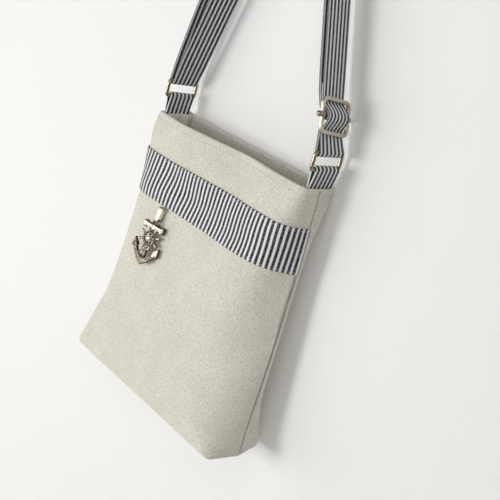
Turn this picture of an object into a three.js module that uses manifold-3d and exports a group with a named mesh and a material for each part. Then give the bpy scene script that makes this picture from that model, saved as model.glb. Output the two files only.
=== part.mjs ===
// Crossbody bag with a striped band, a doubled striped strap and an anchor charm.
// Millimetres, +Z up. The origin is where the bag hangs: under the top of the strap's inner layer.
// +X is to the right of someone facing the bag, and the front faces -Y.

import * as THREE from 'three';
import { mergeVertices } from 'three/addons/utils/BufferGeometryUtils.js';
import Module from 'manifold-3d';

const wasm = await Module();
wasm.setup();

// Bag
const BAG_HEIGHT = 211;
const RIM_Z = -251;
const WALL = 2;
const BACK_Y = 15.3;
const GAP = 0.3;
const SKIN_GAP = 0.4;
const FACING_THICK = 1.2;
const BAND_THICK = 1;
const BAND_GAP = 0.5;
const BAND_TOP = 29;
const BAND_BOTTOM = 64;

// Strap, tabs and hardware
const STRAP_WIDTH = 25;
const STRAP_THICK = 1.3;
const LAYER_PITCH = STRAP_THICK + GAP;
const WIRE = 2.8;
const WRAP_RADIUS = WIRE / 2 + GAP + STRAP_THICK / 2;
const HANG_RADIUS = 8;
const RING_X = 81.6;
const RING_LOW = 13.4;
const RING_SIZE = { width: 28.4, height: 12.2, corner: 2 };
const SLIDER_SIZE = { width: 30.6, height: 22.4, corner: 4 };
const SLIDER_RISE = 24;
const BAR_EYE = { wall: 0.8, half: 1.7, bevel: 0.3 };
const SLIDER_TAIL = 22;
const RING_TAIL_END = -9;
const LEFT_OUTER_BOW = 12;
const LEFT_INNER_BOW = 3;
const RIGHT_INNER_BOW = 1;
const SLACK = 4;
const TAB_TAIL = 9;
const TAB_SLOT = 2 * STRAP_THICK + GAP + 4 * SKIN_GAP;

// Charm, in its own frame: origin on the thread, -Z down the front panel, -Y away from the bag
const CHARM_X = -37.8;
const CHARM_DROP = 66.6;
const CHARM_CLEAR = 2.3;
const THREAD = { radius: 0.6, half: 3.8, bend: 1 };
const BAIL = { length: 9.2, inner: 1.3, outer: 1.9, topHalf: 2.75, lowHalf: 0.7 };
const BAIL_TILT = THREE.MathUtils.degToRad(6.4);
const BAIL_SHOULDER = { half: 2.45, z: -8.2 };
const BAIL_NECK = { half: 1.15, z: -8.9 };
const EYE = { hole: 2, outer: 3.2, thick: 1 };
const EYE_Z = -(BAIL.length + BAIL.inner - 3 * GAP + EYE.hole);

// Anchor, in its own frame: origin in its eye
const ANCHOR_PITCH = THREE.MathUtils.degToRad(-4);
const ANCHOR_TILT = THREE.MathUtils.degToRad(2);
const ANCHOR_TURN = THREE.MathUtils.degToRad(16);
const PLATE = { back: -0.9, thick: 2.2, armThick: 2.9 };
const SHANK = { topHalf: 1.3, lowHalf: 1.9, rise: 0.4 };
const STOCK = { z: -3.6, half: 9.8, bar: 1.7, cap: 2.25, capLong: 2.8, bevel: 0.5, forward: 0.5 };
const WHEEL = { z: -13.2, rim: 6.2, bore: 4.7, back: 0.9, thick: 1.5, hub: 2.3, forward: 1.5 };
const FLATTEN = 0.8;
const SPOKE = { count: 8, half: 0.5, from: 1.2, to: 9.2, knob: 0.95 };
const CROWN = { z: -36.2, thick: 5.2, overlap: 3 };

// Right arm, across and up from the eye: its outer curve from the crown, its fluke and its inner curve
const ARM = {
  outerBend: [6.4, -31.4],
  outerEnd: [10.7, -24.2],
  barb: [12.8, -25.2],
  tip: [12, -17],
  heel: [7.1, -22],
  innerEnd: [8.6, -23],
  innerBend: [6, -29.4],
};

// Rope, across and up from the eye: from the wheel over the shank, round it and along the right arm
const ROPE = {
  radius: 0.75,
  forward: 1.8,
  way: [[5, -17], [3, -21.2], [-2.4, -24.2], [-4, -27.4], [-0.6, -30.4], [4.6, -29.2], [8.4, -25.2]],
};

// Rows of numbers read against one list of column names
function table(columns, rows) {
  return rows.map((row) => Object.fromEntries(columns.map((column, i) => [column, row[i]])));
}

// The bag's outline at a few heights. drop is the distance below the rim, front and back the panels'
// edges, seam the side seam between them, and each round how far that edge is rounded off. Both sides
// are alike but for the front's right edge, which is drawn in at mid height.
const SECTIONS = table(
  [
    'drop', 'frontHalf', 'frontY', 'seamHalf', 'seamY', 'backHalf', 'frontRound', 'backRound',
    'rightHalf', 'rightRound',
  ],
  [
    [0, 83.4, -15.3, 84, 0, 83.4, 3, 2.5, 83.4, 3],
    [14.5, 83.7, -18.4, 84.4, 0, 83.7, 4.5, 4, 83.7, 4.5],
    [BAND_TOP, 84.2, -20.8, 85, 0, 84, 12, 9, 82.5, 20],
    [BAND_BOTTOM, 85.4, -24.3, 86.4, 0, 85, 25, 25, 71, 18],
    [84, 85.8, -26.1, 87.4, -1, 85.5, 28, 29, 66, 17],
    [105, 86.2, -27.8, 88.6, -2, 86, 30, 31, 66, 22],
    [150, 87.4, -31.8, 91, -5, 87, 29, 30, 80, 54],
    [185, 88.6, -35.8, 93, -8.5, 88.4, 14, 15, 88.6, 40],
    [205, 90.2, -37.8, 95, -10.3, 90, 5, 5, 90.2, 10],
    [BAG_HEIGHT, 90.4, -38.2, 95.2, -10.6, 90.2, 5, 5, 90.4, 5],
  ],
);

// Soft waves of the front panel: where each is centred, how far it spreads and how far it stands out.
const FRONT_FOLDS = table(['across', 'drop', 'wide', 'tall', 'out'], [
  [-48, 0, 26, 34, 4],
  [20, 0, 24, 30, -4],
  [36, 62, 14, 26, 1.6],
]);

// Heights at which the walls are drawn, shared by every cloth layer so that their facets run parallel
const FACING_DROPS = [0, 14.5, BAND_TOP, 38, 46.5];
const BAND_DROPS = [BAND_TOP, 38, 46.5, 55, BAND_BOTTOM];
const SHELL_DROPS = [0, 14.5, ...BAND_DROPS, 84, 105, 128, 150, 168, 185, 197];
const BASE_EDGE = table(['drop', 'inset'], [
  [BAG_HEIGHT - 3, 0],
  [BAG_HEIGHT - 0.8, 0.7],
  [BAG_HEIGHT, 2.2],
]);

// Points along each stretch of half an outline
const FRONT_STEPS = 8;
const CORNER_STEPS = 5;
const SIDE_STEPS = 2;
const BACK_STEPS = 5;
const SEAM_INDEX = FRONT_STEPS + CORNER_STEPS + SIDE_STEPS;

// A rounded edge keeps its wall thickness when its inner round is shorter by this share of the inset
const ROUND_SHRINK = 4 - 2 * Math.SQRT2;

// Materials
const canvas = new THREE.MeshStandardMaterial({ color: 0xc8c4b6, roughness: 0.95 });
const stripe = new THREE.MeshStandardMaterial({ color: 0x5a5f72, roughness: 0.9 });
const nickel = new THREE.MeshStandardMaterial({ color: 0xcfc8ba, roughness: 0.22, metalness: 1 });
const antique = new THREE.MeshStandardMaterial({ color: 0x9d978c, roughness: 0.38, metalness: 1 });
const thread = new THREE.MeshStandardMaterial({ color: 0xbdb9ab, roughness: 0.9 });

// Solid helpers

function solidOf(geometry) {
  const bare = geometry.index ? geometry.toNonIndexed() : geometry.clone();
  bare.deleteAttribute('normal');
  bare.deleteAttribute('uv');
  const merged = mergeVertices(bare, 1e-4);
  return new wasm.Manifold(new wasm.Mesh({
    numProp: 3,
    vertProperties: Float32Array.from(merged.attributes.position.array),
    triVerts: Uint32Array.from(merged.index.array),
  }));
}

function geometryOf(solid) {
  const mesh = solid.getMesh();
  const geometry = new THREE.BufferGeometry();
  geometry.setAttribute('position', new THREE.BufferAttribute(mesh.vertProperties, 3));
  geometry.setIndex(new THREE.BufferAttribute(mesh.triVerts, 1));
  geometry.computeVertexNormals();
  return geometry;
}

function join(pieces) {
  return geometryOf(pieces.map(solidOf).reduce((whole, piece) => whole.add(piece)));
}

// Joins loops of equal length into one closed surface. A ring closes on its first loop; otherwise
// both ends are closed by strips across the loop.
function loft(loops, ring = false) {
  const count = loops[0].length;
  const points = loops.flat();
  const faces = [];
  const quad = (a, b, c, d) => faces.push(a, b, c, a, c, d);
  const spans = ring ? loops.length : loops.length - 1;
  for (let span = 0; span < spans; span++) {
    const here = span * count;
    const next = ((span + 1) % loops.length) * count;
    for (let i = 0; i < count; i++) {
      const j = (i + 1) % count;
      quad(here + i, next + i, next + j, here + j);
    }
  }
  if (!ring) {
    const last = points.length - count;
    for (let i = 0; i < count / 2 - 1; i++) {
      const far = count - 1 - i;
      quad(i, i + 1, far - 1, far);
      quad(last + far, last + far - 1, last + i + 1, last + i);
    }
  }
  const volume = faces.reduce((sum, corner, k) => (
    k % 3 ? sum : sum + points[corner].dot(points[faces[k + 1]].clone().cross(points[faces[k + 2]]))
  ), 0);
  if (volume < 0) faces.reverse();
  const geometry = new THREE.BufferGeometry().setFromPoints(points);
  geometry.setIndex(faces);
  geometry.computeVertexNormals();
  return geometry;
}

// A flat shape drawn in X and Z, from depth `back` to `back + thick` away from the bag
function plate(shape, back, thick) {
  const settings = { depth: thick, bevelEnabled: false, curveSegments: 6 };
  const geometry = new THREE.ExtrudeGeometry(shape, settings);
  return geometry.translate(0, 0, back).rotateX(Math.PI / 2);
}

function polygon(corners) {
  return new THREE.Shape(corners.map(([x, y]) => new THREE.Vector2(x, y)));
}

// Bag outline

// The table's row at any height, on a smooth curve through its rows
function sectionAt(drop) {
  const last = SECTIONS.length - 1;
  const below = SECTIONS.findIndex((row) => row.drop >= drop);
  const i = Math.max(0, (below < 0 ? last : below) - 1);
  const [upper, lower] = [SECTIONS[i], SECTIONS[i + 1]];
  const span = lower.drop - upper.drop;
  const s = (drop - upper.drop) / span;
  const slope = (k, key) => {
    const [before, after] = [SECTIONS[Math.max(k - 1, 0)], SECTIONS[Math.min(k + 1, last)]];
    return (after[key] - before[key]) / (after.drop - before.drop);
  };
  const row = {};
  for (const key of Object.keys(upper)) {
    row[key] = (1 + 2 * s) * (1 - s) ** 2 * upper[key] + s ** 2 * (3 - 2 * s) * lower[key]
      + s * (1 - s) * span * ((1 - s) * slope(i, key) - s * slope(i + 1, key));
  }
  return row;
}

function foldOut(x, drop) {
  return FRONT_FOLDS.reduce((sum, fold) => {
    const across = (x - fold.across) / fold.wide;
    const down = (drop - fold.drop) / fold.tall;
    return sum + fold.out * Math.exp(-(across ** 2) - down ** 2);
  }, 0);
}

// One side of the outline at a height, from the middle of the front to the middle of the back
function halfOutline(row, frontHalf, frontRound, insetX, insetY) {
  const front = new THREE.Vector2(frontHalf - insetX, row.frontY + insetY);
  const seam = new THREE.Vector2(row.seamHalf - insetX, row.seamY);
  const back = new THREE.Vector2(row.backHalf - insetX, BACK_Y - insetY);
  const roundOff = (corner, round) => {
    const length = Math.max(GAP, round - ROUND_SHRINK * insetY);
    const side = corner.distanceTo(seam);
    return {
      panel: new THREE.Vector2(corner.x - length, corner.y),
      side: corner.clone().lerp(seam, Math.min(length / side, 0.95)),
    };
  };
  const frontEdge = roundOff(front, frontRound);
  const backEdge = roundOff(back, row.backRound);
  const backMiddle = new THREE.Vector2(0, back.y);
  const stretches = [
    [new THREE.LineCurve(new THREE.Vector2(0, front.y), frontEdge.panel), FRONT_STEPS],
    [new THREE.QuadraticBezierCurve(frontEdge.panel, front, frontEdge.side), CORNER_STEPS],
    [new THREE.LineCurve(frontEdge.side, seam), SIDE_STEPS],
    [new THREE.LineCurve(seam, backEdge.side), SIDE_STEPS],
    [new THREE.QuadraticBezierCurve(backEdge.side, back, backEdge.panel), CORNER_STEPS],
    [new THREE.LineCurve(backEdge.panel, backMiddle), BACK_STEPS],
  ];
  return [...stretches.flatMap(([curve, steps]) => curve.getPoints(steps).slice(0, -1)), backMiddle];
}

// The whole outline at one height, from the middle of the front round by the right side
function outline(drop, insetX = 0, insetY = insetX) {
  const row = sectionAt(drop);
  const right = halfOutline(row, row.rightHalf, row.rightRound, insetX, insetY);
  const left = halfOutline(row, row.frontHalf, row.frontRound, insetX, insetY).slice(1, -1).reverse();
  const loop = [...right, ...left.map((point) => new THREE.Vector2(-point.x, point.y))];
  const frontY = row.frontY + insetY;
  return loop.map((point) => {
    const share = THREE.MathUtils.smoothstep((row.seamY - point.y) / (row.seamY - frontY), 0, 1);
    return new THREE.Vector3(point.x, point.y - share * foldOut(point.x, drop), RIM_Z - drop);
  });
}

// The front half of an outline, from the left seam to the right seam
function frontOutline(drop, inset) {
  const loop = outline(drop, inset);
  return [...loop.slice(-SEAM_INDEX), ...loop.slice(0, SEAM_INDEX + 1)];
}

// Cloth pieces

function bodyShell() {
  const floorDrop = BAG_HEIGHT - WALL;
  const inside = [...SHELL_DROPS, floorDrop].reverse().map((drop) => outline(drop, WALL));
  const outside = SHELL_DROPS.map((drop) => outline(drop));
  const base = BASE_EDGE.map(({ drop, inset }) => outline(drop, inset));
  return loft([...inside, ...outside, ...base]);
}

function topFacing() {
  const outer = { x: WALL + TAB_SLOT + SKIN_GAP, y: WALL + SKIN_GAP };
  const outside = FACING_DROPS.map((drop) => outline(drop, outer.x, outer.y));
  const inner = { x: outer.x + FACING_THICK, y: outer.y + FACING_THICK };
  const inside = FACING_DROPS.map((drop) => outline(drop, inner.x, inner.y));
  return loft([...outside, ...inside.reverse()], true);
}

function stripedBand() {
  const outside = BAND_DROPS.map((drop) => frontOutline(drop, -BAND_GAP - BAND_THICK));
  const inside = BAND_DROPS.map((drop) => frontOutline(drop, -BAND_GAP));
  const rows = [...outside, ...inside.reverse()];
  return loft(rows[0].map((point, i) => rows.map((row) => row[i])));
}

// A strip of webbing whose middle line is drawn in X and Z, as wide as the strap along Y
function ribbon(line) {
  const half = STRAP_THICK / 2;
  const sideways = line.map((point, i) => {
    const ahead = line[Math.min(i + 1, line.length - 1)];
    const behind = line[Math.max(i - 1, 0)];
    const along = ahead.clone().sub(behind).normalize();
    return new THREE.Vector2(-along.y, along.x).multiplyScalar(half);
  });
  const leftEdge = line.map((point, i) => point.clone().add(sideways[i]));
  const rightEdge = line.map((point, i) => point.clone().sub(sideways[i]));
  const shape = new THREE.Shape([...leftEdge, ...rightEdge.reverse()]);
  return plate(shape, -STRAP_WIDTH / 2, STRAP_WIDTH);
}

function arc(centre, radius, from, to, steps) {
  const curve = new THREE.EllipseCurve(centre.x, centre.y, radius, radius, from, to, to < from);
  return curve.getPoints(steps);
}

function tabLine(side) {
  const bar = new THREE.Vector2(RING_X, RIM_Z + RING_LOW);
  const rim = sectionAt(0);
  const outerTail = rim.frontHalf - WALL - SKIN_GAP - STRAP_THICK / 2;
  const innerTail = outerTail - LAYER_PITCH;
  const line = [
    new THREE.Vector2(innerTail, RIM_Z - TAB_TAIL),
    new THREE.Vector2(innerTail, RIM_Z),
    ...arc(bar, WRAP_RADIUS, Math.PI, 0, 8),
    new THREE.Vector2(outerTail + STRAP_THICK, RIM_Z + RING_LOW / 3),
    new THREE.Vector2(outerTail, RIM_Z),
    new THREE.Vector2(outerTail, RIM_Z - TAB_TAIL),
  ];
  return line.map((point) => new THREE.Vector2(side * point.x, point.y));
}

// Strap: one strip, from its end on the right ring, through the slider, over the top, round the left
// ring, back over the top under itself, to its end on the slider's centre bar

// The straight line that passes two round bars, each on its left by the given distance
function tangent(from, fromLeft, to, toLeft) {
  const span = to.clone().sub(from);
  const angle = span.angle() - Math.asin((fromLeft - toLeft) / span.length());
  const left = new THREE.Vector2(-Math.sin(angle), Math.cos(angle));
  return {
    start: from.clone().addScaledVector(left, fromLeft),
    end: to.clone().addScaledVector(left, toLeft),
    left,
  };
}

// Points along a tangent line that bows to its left between its ends
function leg(line, bow, steps) {
  return Array.from({ length: steps + 1 }, (_, i) => {
    const share = i / steps;
    const point = line.start.clone().lerp(line.end, share);
    return point.addScaledVector(line.left, bow * Math.sin(Math.PI * share));
  });
}

const hang = new THREE.Vector2(0, -HANG_RADIUS);
const innerTurn = HANG_RADIUS + STRAP_THICK / 2;
const outerTurn = innerTurn + LAYER_PITCH;
const upperBar = RIM_Z + RING_LOW + RING_SIZE.height;
const leftBar = new THREE.Vector2(-RING_X, upperBar);
const rightBar = new THREE.Vector2(RING_X, upperBar);
const rightLeg = tangent(rightBar, 0, hang, -outerTurn);
const legUp = rightLeg.end.clone().sub(rightLeg.start).normalize();
const legOut = rightLeg.left.clone().negate();
const legTilt = Math.atan2(-legUp.x, legUp.y);
const sliderFoot = rightBar.clone().addScaledVector(legOut, WRAP_RADIUS);
const sliderMiddle = sliderFoot.addScaledVector(legUp, SLIDER_RISE);

// A point beside the slider: how far up the strap from its middle, and how far out
function bySlider(up, out) {
  return sliderMiddle.clone().addScaledVector(legUp, up).addScaledVector(legOut, out);
}

function strapLine() {
  const reach = SLIDER_SIZE.height / 2;
  const crest = WRAP_RADIUS + LAYER_PITCH;
  const weaveOut = (up) => {
    const share = (1 + Math.cos(Math.PI * Math.min(1, Math.abs(up) / reach))) / 2;
    return THREE.MathUtils.lerp(-WRAP_RADIUS, crest, share);
  };
  const outAngle = legTilt;
  const inAngle = legTilt + Math.PI;
  const leftOuter = tangent(hang, -outerTurn, leftBar, -WRAP_RADIUS);
  const leftInner = tangent(leftBar, -WRAP_RADIUS, hang, innerTurn);
  const slackEnd = bySlider(SLIDER_TAIL + 8, -WRAP_RADIUS - SLACK);
  const rightInner = tangent(hang, innerTurn, slackEnd, 0);
  const outerLeft = leftOuter.left.clone().negate().angle();
  const innerLeft = leftInner.left.angle();
  const innerRight = rightInner.left.angle();

  const ringEnd = [
    bySlider(RING_TAIL_END, -WRAP_RADIUS - LAYER_PITCH),
    ...arc(rightBar, WRAP_RADIUS, inAngle, outAngle + 2 * Math.PI, 8),
  ];
  const weave = Array.from({ length: 13 }, (_, i) => {
    const up = reach * (i / 6 - 1);
    return bySlider(up, weaveOut(up));
  });
  const overTop = arc(hang, outerTurn, outAngle, outerLeft, 12);
  const downLeft = leg(leftOuter, -LEFT_OUTER_BOW, 12).slice(1, -1);
  const roundLeftRing = arc(leftBar, WRAP_RADIUS, outerLeft, innerLeft + Math.PI, 8);
  const upLeft = leg(leftInner, LEFT_INNER_BOW, 8).slice(1, -1);
  const underTop = arc(hang, innerTurn, innerLeft, innerRight, 12);
  const downRight = leg(rightInner, -RIGHT_INNER_BOW, 10).slice(1);
  const toBar = [
    bySlider(reach + 6, -WRAP_RADIUS - 2.3 * LAYER_PITCH),
    bySlider(reach - 4, -WRAP_RADIUS - 1.5 * LAYER_PITCH),
  ];
  const roundBar = arc(bySlider(0, 0), WRAP_RADIUS, inAngle, outAngle + 2 * Math.PI, 8);
  const sewnEnd = [0.15, 0.3, 0.45, 0.6, 0.8, 1, SLIDER_TAIL / reach].map((share) => {
    const up = share * reach;
    const lean = (weaveOut(up + GAP) - weaveOut(up - GAP)) / (2 * GAP);
    return bySlider(up, weaveOut(up) - LAYER_PITCH * Math.hypot(1, lean));
  });
  return [
    ...ringEnd, ...weave, ...overTop, ...downLeft, ...roundLeftRing,
    ...upLeft, ...underTop, ...downRight, ...toBar, ...roundBar, ...sewnEnd,
  ];
}

// Hardware

// A closed wire in the Y-Z plane, bent round a rounded rectangle measured at the middle of the wire
function wireLoop({ width, height, corner }) {
  const sides = 10;
  const bendSteps = 5;
  const bends = table(['signY', 'signZ', 'quarter'], [[1, 1, 0], [-1, 1, 1], [-1, -1, 2], [1, -1, 3]]);
  const loops = bends.flatMap(({ signY, signZ, quarter }) => {
    const centre = new THREE.Vector3(0, signY * (width / 2 - corner), signZ * (height / 2 - corner));
    return Array.from({ length: bendSteps + 1 }, (_, step) => {
      const turn = (quarter + step / bendSteps) * Math.PI / 2;
      const out = new THREE.Vector3(0, Math.cos(turn), Math.sin(turn));
      const middle = centre.clone().addScaledVector(out, corner);
      return Array.from({ length: sides }, (unused, i) => {
        const angle = 2 * Math.PI * i / sides;
        const point = middle.clone().addScaledVector(out, WIRE / 2 * Math.cos(angle));
        return point.setX(WIRE / 2 * Math.sin(angle));
      });
    });
  });
  return loft(loops, true);
}

// The slider's centre bar, with an eye round each side of the frame and a round nub at its front end
function sliderBar() {
  const hole = WIRE / 2 + GAP;
  const { wall, half, bevel } = BAR_EYE;
  const outer = hole + wall;
  const profile = [
    [hole, -half], [outer - bevel, -half], [outer, bevel - half],
    [outer, half - bevel], [outer - bevel, half], [hole, half], [hole, -half],
  ].map(([radius, height]) => new THREE.Vector2(radius, height));
  const length = SLIDER_SIZE.width - 2 * hole - wall;
  const pieces = [new THREE.CylinderGeometry(WIRE / 2, WIRE / 2, length, 10)];
  const reach = SLIDER_SIZE.width / 2;
  for (const y of [-reach, reach]) {
    pieces.push(new THREE.LatheGeometry(profile, 12).rotateX(Math.PI / 2).translate(0, y, 0));
  }
  pieces.push(new THREE.SphereGeometry(half, 10, 6).translate(0, -reach - outer - wall, 0));
  return join(pieces);
}

// Charm

// A bent thread: a bar across the bail's bend, whose two ends turn back to the cloth
function charmStitch() {
  const sides = 8;
  const { radius, half, bend } = THREAD;
  const reach = CHARM_CLEAR - GAP;
  const corners = [
    [-half, reach], [-half, bend], [bend - half, 0], [half - bend, 0], [half, bend], [half, reach],
  ].map(([x, y]) => new THREE.Vector3(x, y, 0));
  const last = corners.length - 1;
  const loops = corners.map((corner, i) => {
    const behind = corners[Math.max(i - 1, 0)];
    const along = corners[Math.min(i + 1, last)].clone().sub(behind).normalize();
    const across = new THREE.Vector3(-along.y, along.x, 0);
    return Array.from({ length: sides }, (_, k) => {
      const angle = 2 * Math.PI * k / sides;
      const point = corner.clone().addScaledVector(across, radius * Math.cos(angle));
      return point.setZ(radius * Math.sin(angle));
    });
  });
  return loft(loops);
}

// A folded strip that closes on itself: wide at the thread, with a narrow neck in the anchor's eye
function bail() {
  const { length, inner, outer, topHalf, lowHalf } = BAIL;
  const stadium = (path, radius) => {
    path.absarc(0, 0, radius, 0, Math.PI);
    path.absarc(0, -length, radius, Math.PI, 2 * Math.PI);
    path.closePath();
    return path;
  };
  const fold = stadium(new THREE.Shape(), outer);
  fold.holes.push(stadium(new THREE.Path(), inner));
  const settings = { depth: 2 * topHalf, bevelEnabled: false, curveSegments: 5 };
  const wide = new THREE.ExtrudeGeometry(fold, settings).translate(0, 0, -topHalf);
  const x = new THREE.Vector3(1, 0, 0);
  const y = new THREE.Vector3(0, 1, 0);
  const z = new THREE.Vector3(0, 0, 1);
  wide.applyMatrix4(new THREE.Matrix4().makeBasis(y, z, x));
  const high = outer + GAP;
  const low = -length - high;
  const right = [
    [lowHalf, low], [BAIL_NECK.half, BAIL_NECK.z], [BAIL_SHOULDER.half, BAIL_SHOULDER.z], [topHalf, high],
  ];
  const left = right.map(([across, up]) => [-across, up]).reverse();
  const taper = polygon([...right, ...left]);
  return geometryOf(solidOf(wide).intersect(solidOf(plate(taper, -2 * outer, 4 * outer))));
}

// A flat ring drawn in X and Z about the given height
function flatRing(z, outer, inner, back, thick) {
  const shape = new THREE.Shape().absarc(0, z, outer, 0, 2 * Math.PI);
  shape.holes.push(new THREE.Path().absarc(0, z, inner, 0, 2 * Math.PI));
  return plate(shape, back, thick);
}

// Both arms with their flukes, from the crown up to the tips
function anchorArms() {
  const at = ([x, z]) => new THREE.Vector2(x, z);
  const foot = at([0, CROWN.z]);
  const fork = at([0, CROWN.z + CROWN.thick]);
  const outer = new THREE.QuadraticBezierCurve(foot, at(ARM.outerBend), at(ARM.outerEnd));
  const inner = new THREE.QuadraticBezierCurve(at(ARM.innerEnd), at(ARM.innerBend), fork);
  const fluke = [ARM.barb, ARM.tip, ARM.heel].map(at);
  const right = [...outer.getPoints(6), ...fluke, ...inner.getPoints(6)];
  const left = right.slice(1, -1).reverse().map(({ x, y }) => new THREE.Vector2(-x, y));
  return plate(new THREE.Shape([...right, ...left]), PLATE.back, PLATE.armThick);
}

function anchorShank() {
  const { topHalf, lowHalf, rise } = SHANK;
  const top = -EYE.hole - rise;
  const low = CROWN.z + CROWN.overlap;
  const shape = polygon([[-topHalf, top], [topHalf, top], [lowHalf, low], [-lowHalf, low]]);
  return plate(shape, PLATE.back, PLATE.thick);
}

// The stock: a round bar with a thicker cap at each end, a little flattened
function anchorStock() {
  const { half, bar, cap, capLong, bevel } = STOCK;
  const neck = half - capLong;
  const right = [
    [bar, neck], [cap, neck + bevel], [cap, half - bevel], [cap - bevel, half], [0, half],
  ].map(([radius, x]) => new THREE.Vector2(radius, x));
  const left = right.map((point) => new THREE.Vector2(point.x, -point.y)).reverse();
  const turned = new THREE.LatheGeometry([...left, ...right], 10).rotateZ(Math.PI / 2);
  return turned.scale(1, FLATTEN, 1).translate(0, -STOCK.forward, STOCK.z);
}

// The wheel in front of the shank: a rim, a domed hub and spokes that end in handles
function anchorWheel() {
  const { z, rim, bore, back, thick, hub, forward } = WHEEL;
  const dome = new THREE.SphereGeometry(hub, 10, 6).scale(1, FLATTEN, 1).translate(0, -forward, z);
  const pieces = [flatRing(z, rim, bore, back, thick), dome];
  for (let i = 0; i < SPOKE.count; i++) {
    const turn = (i + 0.5) * 2 * Math.PI / SPOKE.count;
    const bar = new THREE.BoxGeometry(2 * SPOKE.half, 2 * SPOKE.half, SPOKE.to - SPOKE.from);
    bar.translate(0, 0, (SPOKE.to + SPOKE.from) / 2);
    const knob = new THREE.SphereGeometry(SPOKE.knob, 8, 5).translate(0, 0, SPOKE.to);
    for (const piece of [bar, knob]) pieces.push(piece.rotateY(turn).translate(0, -forward, z));
  }
  return pieces;
}

function anchorRope() {
  const line = new THREE.CatmullRomCurve3(ROPE.way.map(([x, z]) => new THREE.Vector3(x, -ROPE.forward, z)));
  const section = new THREE.Shape().absarc(0, 0, ROPE.radius, 0, 2 * Math.PI);
  const settings = { extrudePath: line, steps: 20, curveSegments: 3, bevelEnabled: false };
  return new THREE.ExtrudeGeometry(section, settings);
}

function anchor() {
  const eye = flatRing(0, EYE.outer, EYE.hole, -EYE.thick / 2, EYE.thick);
  return join([eye, anchorShank(), anchorArms(), anchorStock(), ...anchorWheel(), anchorRope()]);
}

// Assembly

function add(parent, name, geometry, material) {
  const mesh = new THREE.Mesh(geometry, material);
  mesh.name = name;
  parent.add(mesh);
  return mesh;
}

const bag = new THREE.Group();
add(bag, 'body_shell', bodyShell(), canvas);
add(bag, 'top_facing', topFacing(), canvas);
add(bag, 'striped_band', stripedBand(), stripe);
for (const [side, word] of [[-1, 'left'], [1, 'right']]) {
  add(bag, `tab_${word}`, ribbon(tabLine(side)), stripe);
  const ring = add(bag, `ring_${word}`, wireLoop(RING_SIZE), nickel);
  ring.position.set(side * RING_X, 0, RIM_Z + RING_LOW + RING_SIZE.height / 2);
}
add(bag, 'strap', ribbon(strapLine()), stripe);

const slider = new THREE.Group();
slider.position.set(sliderMiddle.x, 0, sliderMiddle.y);
slider.rotation.y = -legTilt;
add(slider, 'slider_frame', wireLoop(SLIDER_SIZE), nickel);
add(slider, 'slider_bar', sliderBar(), nickel);
bag.add(slider);

const frontY = (drop) => sectionAt(drop).frontY - foldOut(CHARM_X, drop);
const crownDrop = CHARM_DROP - EYE_Z - CROWN.z;
const lean = Math.atan2(frontY(CHARM_DROP) - frontY(crownDrop), crownDrop - CHARM_DROP);
const charm = new THREE.Group();
charm.position.set(
  CHARM_X,
  frontY(CHARM_DROP) - CHARM_CLEAR * Math.cos(lean),
  RIM_Z - CHARM_DROP + CHARM_CLEAR * Math.sin(lean),
);
charm.rotation.x = -lean - BAIL_TILT;
add(charm, 'charm_stitch', charmStitch(), thread);
add(charm, 'bail', bail(), nickel);
const hanging = add(charm, 'anchor', anchor(), antique);
hanging.position.z = EYE_Z;
hanging.rotation.set(ANCHOR_PITCH + BAIL_TILT, ANCHOR_TILT, ANCHOR_TURN);
bag.add(charm);

export default bag;
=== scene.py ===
"""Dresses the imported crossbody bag: felted canvas, striped band and strap, hardware, charm and stage.

Metres, +Z up. The origin is where the bag hangs, +X is to its right and its front faces -Y.
"""

from math import asin, atan2, ceil, cos, exp, hypot, pi, radians, sin, tau

import bmesh
import bpy
from bpy.props import FloatProperty, FloatVectorProperty, IntProperty, PointerProperty
from mathutils import Matrix, Vector, noise


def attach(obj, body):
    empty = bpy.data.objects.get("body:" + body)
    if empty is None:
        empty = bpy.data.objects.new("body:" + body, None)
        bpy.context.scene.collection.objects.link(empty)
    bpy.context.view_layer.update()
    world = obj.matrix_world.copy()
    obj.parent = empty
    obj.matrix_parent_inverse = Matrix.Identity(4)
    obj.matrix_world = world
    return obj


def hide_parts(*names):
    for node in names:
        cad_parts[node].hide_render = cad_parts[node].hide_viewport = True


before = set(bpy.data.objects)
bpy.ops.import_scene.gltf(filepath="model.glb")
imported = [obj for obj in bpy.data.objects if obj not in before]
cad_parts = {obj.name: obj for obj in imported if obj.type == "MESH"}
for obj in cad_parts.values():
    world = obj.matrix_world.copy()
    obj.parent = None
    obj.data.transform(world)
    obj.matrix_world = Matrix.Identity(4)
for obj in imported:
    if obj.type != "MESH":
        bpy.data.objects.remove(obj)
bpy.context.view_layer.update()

bl_info = {
    "name": "Crossbody bag",
    "version": (1, 0, 0),
    "blender": (4, 5, 0),
    "location": "3D View > Sidebar > Bag",
    "description": "Makes the cloth, strap, hardware and charm of a hanging crossbody bag",
    "category": "Object",
}

MM = 0.001


def srgb(code):
    """A hex colour as linear red, green, blue and alpha."""
    shares = [int(code[i:i + 2], 16) / 255 for i in (0, 2, 4)]
    return [s / 12.92 if s <= 0.04045 else ((s + 0.055) / 1.055) ** 2.4 for s in shares] + [1.0]


def table(columns, *rows):
    """Rows of millimetres read against one list of column names, in metres."""
    return [{name: value * MM for name, value in zip(columns.split(), row)} for row in rows]


def pairs(*rows):
    """Pairs of numbers given in millimetres, in metres."""
    return [(first * MM, second * MM) for first, second in rows]


# Bag shape

RIM_Z = -251 * MM
BACK_Y = 15.3 * MM
GAP = 0.3 * MM
SKIN_GAP = 0.4 * MM
CANVAS_THICK = 2 * MM
FACING_THICK = 1.2 * MM
BAND_THICK = 1 * MM

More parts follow.
